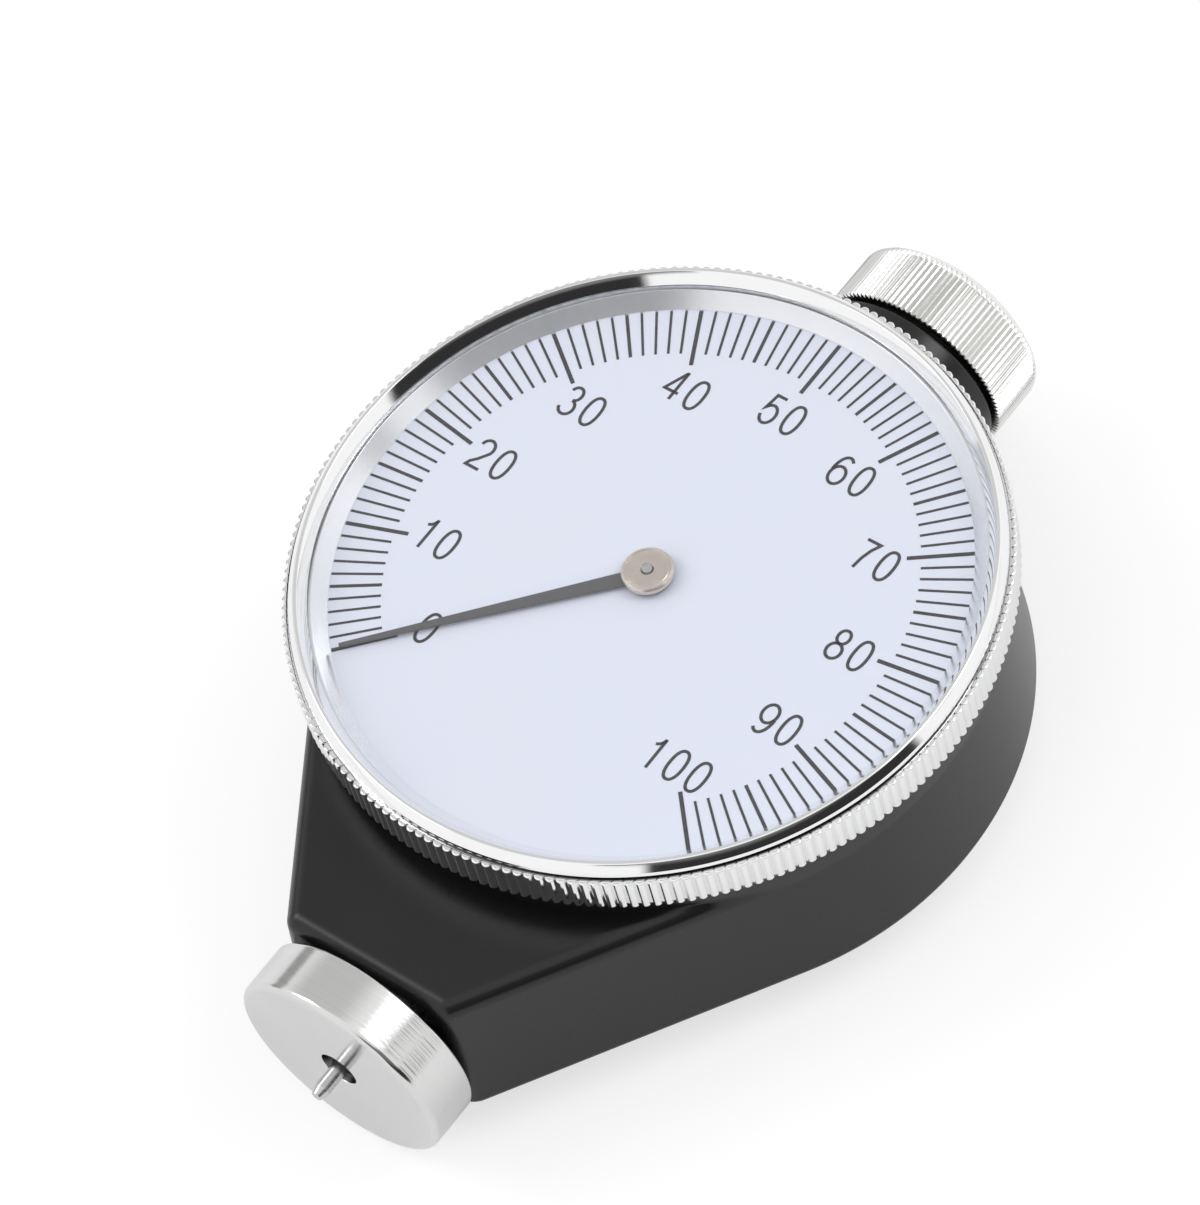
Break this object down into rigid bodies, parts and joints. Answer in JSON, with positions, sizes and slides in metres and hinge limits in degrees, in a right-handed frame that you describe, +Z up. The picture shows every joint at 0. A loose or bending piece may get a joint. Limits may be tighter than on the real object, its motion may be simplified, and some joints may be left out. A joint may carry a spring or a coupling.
{
  "type": "durometer",
  "caption": "Pocket dial durometer: round knurled bezel over a white hardness scale, tapered black case, steel presser foot with a sprung indenter and a knurled knob opposite",
  "frame": {"origin": "on the dial axis, in the flat back of the back cover, which the instrument lies on", "axes": "+Z up out of the dial, +Y towards the knob, -Y towards the presser foot, +X right as the dial is read"},
  "size_m": [0.052, 0.0779, 0.022],
  "materials": {
    "black_plastic": "satin moulded black",
    "chrome": "bright chrome plate",
    "nickel": "bright nickel plate",
    "warm_nickel": "dull warm nickel",
    "polished_steel": "polished, with turning marks",
    "steel": "ground steel",
    "spring_steel": "drawn spring wire",
    "blued_steel": "blued",
    "brass": "fine turned brass",
    "clear_lens": "clear and polished",
    "dial_white": "matt white, faintly blue",
    "ink": "printed dark grey",
    "needle_paint": "satin dark grey"
  },
  "bodies": {
    "case": {"housing": "black_plastic", "back_cover": "black_plastic", "back_cover_screws": "steel", "bezel_snap_ring": "spring_steel", "hairspring": "spring_steel", "hairspring_stud": "brass", "front_plate": "brass", "rear_plate": "brass", "plate_pillars": "brass", "plate_screws": "blued_steel", "movement_screws": "steel", "arbor_bridge": "brass", "bridge_screws": "blued_steel", "upper_guide": "brass", "guide_screws": "blued_steel", "main_spring": "spring_steel", "spring_adjuster": "brass", "lower_guide_bush": "brass", "presser_foot": "polished_steel", "threaded_stem": "brass"},
    "plunger": {"spindle": "steel", "indenter": "steel", "indenter_set_screw": "blued_steel", "spindle_key": "steel", "spring_cup": "brass"},
    "gear_pair": {"gear_arbor": "steel", "gear_wheel": "brass"},
    "pointer": {"pointer_needle": "needle_paint", "pointer_boss": "warm_nickel", "pointer_arbor": "steel", "hairspring_collet": "brass"},
    "bezel_set": {"bezel": "chrome", "lens": "clear_lens", "lens_ring": "chrome", "dial": "dial_white", "dial_scale": "ink"},
    "top_knob": {"knob": "nickel"}
  },
  "joints": [
    {"name": "indenter_press", "type": "slide", "parent": "case", "child": "plunger", "axis": [0, 1, 0], "range_m": [0, 0.0025], "stiffness_N_per_m": 3006, "springref_m": -0.00018, "deforming": ["main_spring"]},
    {"name": "gear_turn", "type": "hinge", "parent": "case", "child": "gear_pair", "pos_m": [-0.0031, -0.006, 0.0129], "axis": [0, 0, 1], "range_deg": [0, 95.5]},
    {"name": "pointer_turn", "type": "hinge", "parent": "case", "child": "pointer", "pos_m": [0, 0, 0.0129], "axis": [0, 0, 1], "range_deg": [-272.84, 0], "deforming": ["hairspring"]},
    {"name": "bezel_turn", "type": "hinge", "parent": "case", "child": "bezel_set", "pos_m": [0, 0, 0.0189], "axis": [0, 0, 1], "continuous": true},
    {"name": "knob_turn", "type": "hinge", "parent": "case", "child": "top_knob", "pos_m": [0, 0.0319, 0.0088], "axis": [0, 1, 0], "continuous": true}
  ],
  "couplings": [
    {"joint": "gear_turn", "follows": "indenter_press", "rad_per_m": 666.67},
    {"joint": "pointer_turn", "follows": "indenter_press", "rad_per_m": -1904.8}
  ]
}
